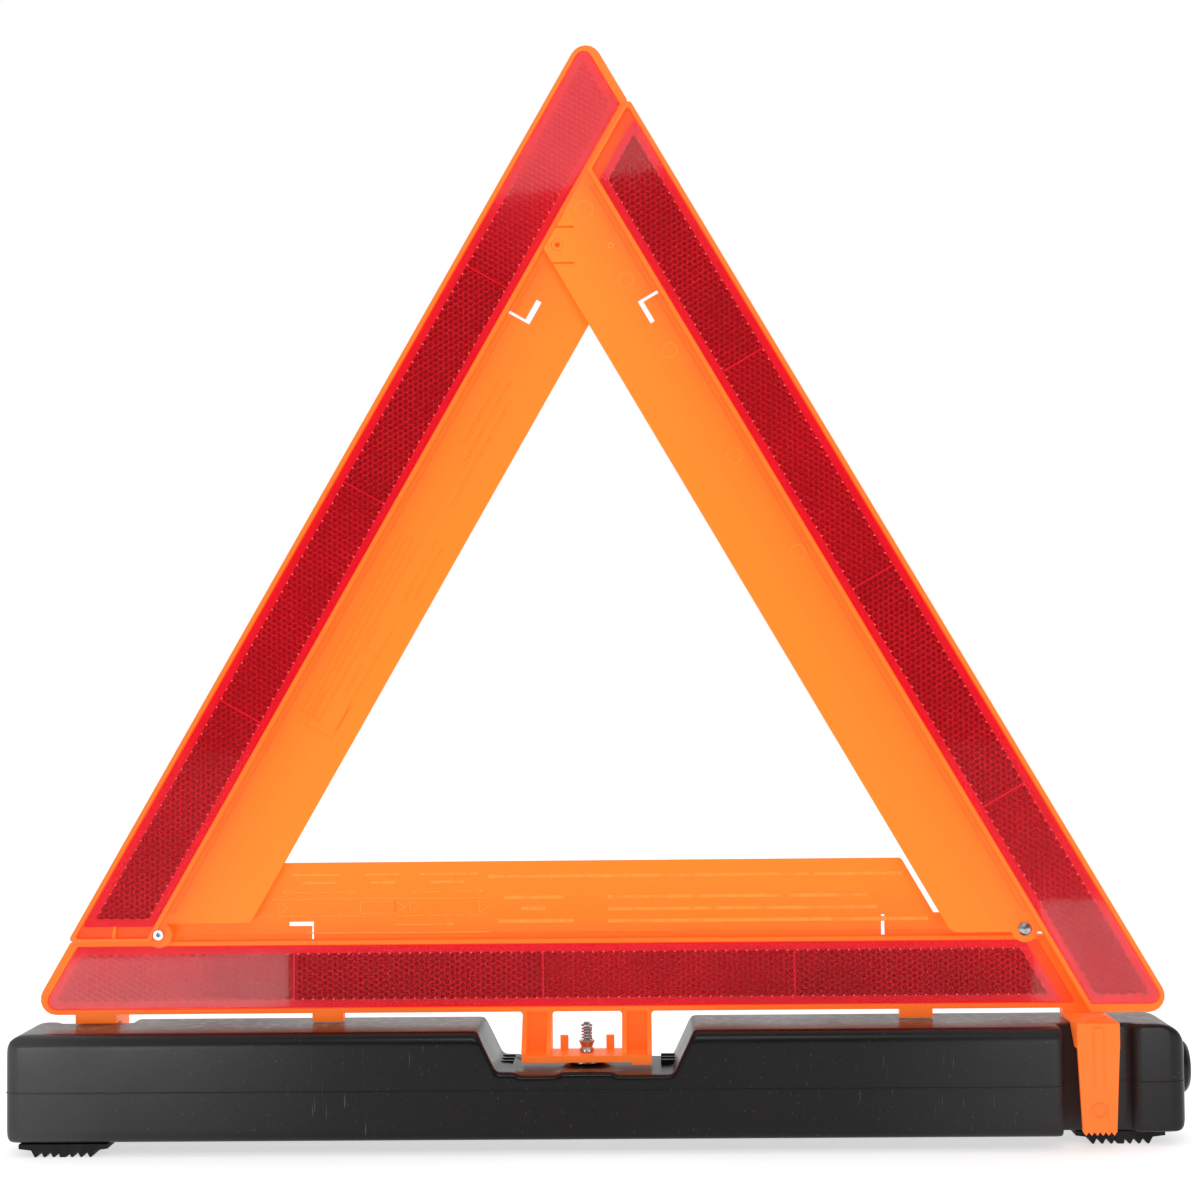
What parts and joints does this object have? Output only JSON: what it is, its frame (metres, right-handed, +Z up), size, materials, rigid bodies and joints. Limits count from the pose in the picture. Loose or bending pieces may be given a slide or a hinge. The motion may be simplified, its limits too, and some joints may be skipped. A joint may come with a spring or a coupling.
{
  "type": "warning triangle",
  "caption": "Folding emergency warning triangle: prismatic red reflector bars with orange panels, on a turning sand-weighted base.",
  "frame": {"origin": "on the ground, at the bottom centre of the whole object's box", "axes": "+X along the base towards the filler plug, +Y away from the front face of the triangle, +Z up"},
  "size_m": [0.466, 0.053, 0.441],
  "materials": {
    "orange_plastic": "fluorescent orange, satin, slightly translucent",
    "red_lens": "clear red acrylic over hexagonal prisms",
    "black_plastic": "blow-moulded, semi-matt",
    "black_rubber": "matt",
    "sand": "loose grains",
    "zinc_steel": "bright zinc plated"
  },
  "bodies": {
    "base": {"base_shell": "black_plastic", "sand_ballast": "sand", "filler_plug": "black_plastic", "base_foot_left": "black_rubber", "base_foot_right": "black_rubber", "pivot_bolt": "zinc_steel", "bolt_washer": "zinc_steel", "yoke_washer": "zinc_steel", "spring_cup": "zinc_steel", "pivot_spring": "zinc_steel", "spring_cap": "zinc_steel"},
    "lower_bar": {"lower_bar_frame": "orange_plastic", "lower_bar_lens_front": "red_lens", "lower_bar_lens_back": "red_lens", "left_pivot_rivet": "zinc_steel", "right_pivot_rivet": "zinc_steel", "left_rivet_washer": "zinc_steel", "right_rivet_washer": "zinc_steel"},
    "left_arm": {"left_arm_frame": "orange_plastic", "left_arm_lens_front": "red_lens", "left_arm_lens_back": "red_lens"},
    "right_arm": {"right_arm_frame": "orange_plastic", "right_arm_lens_front": "red_lens", "right_arm_lens_back": "red_lens"}
  },
  "joints": [
    {"name": "triangle_turn", "type": "hinge", "parent": "base", "child": "lower_bar", "pos_m": [-0.0056, 0, 0.0345], "axis": [0, 0, 1], "range_deg": [-90, 0]},
    {"name": "left_arm_fold", "type": "hinge", "parent": "lower_bar", "child": "left_arm", "pos_m": [-0.177, 0, 0.0838], "axis": [0, 1, 0], "range_deg": [0, 59]},
    {"name": "right_arm_fold", "type": "hinge", "parent": "lower_bar", "child": "right_arm", "pos_m": [0.168, -0.0066, 0.0842], "axis": [0, 1, 0], "range_deg": [-59, 0]}
  ]
}
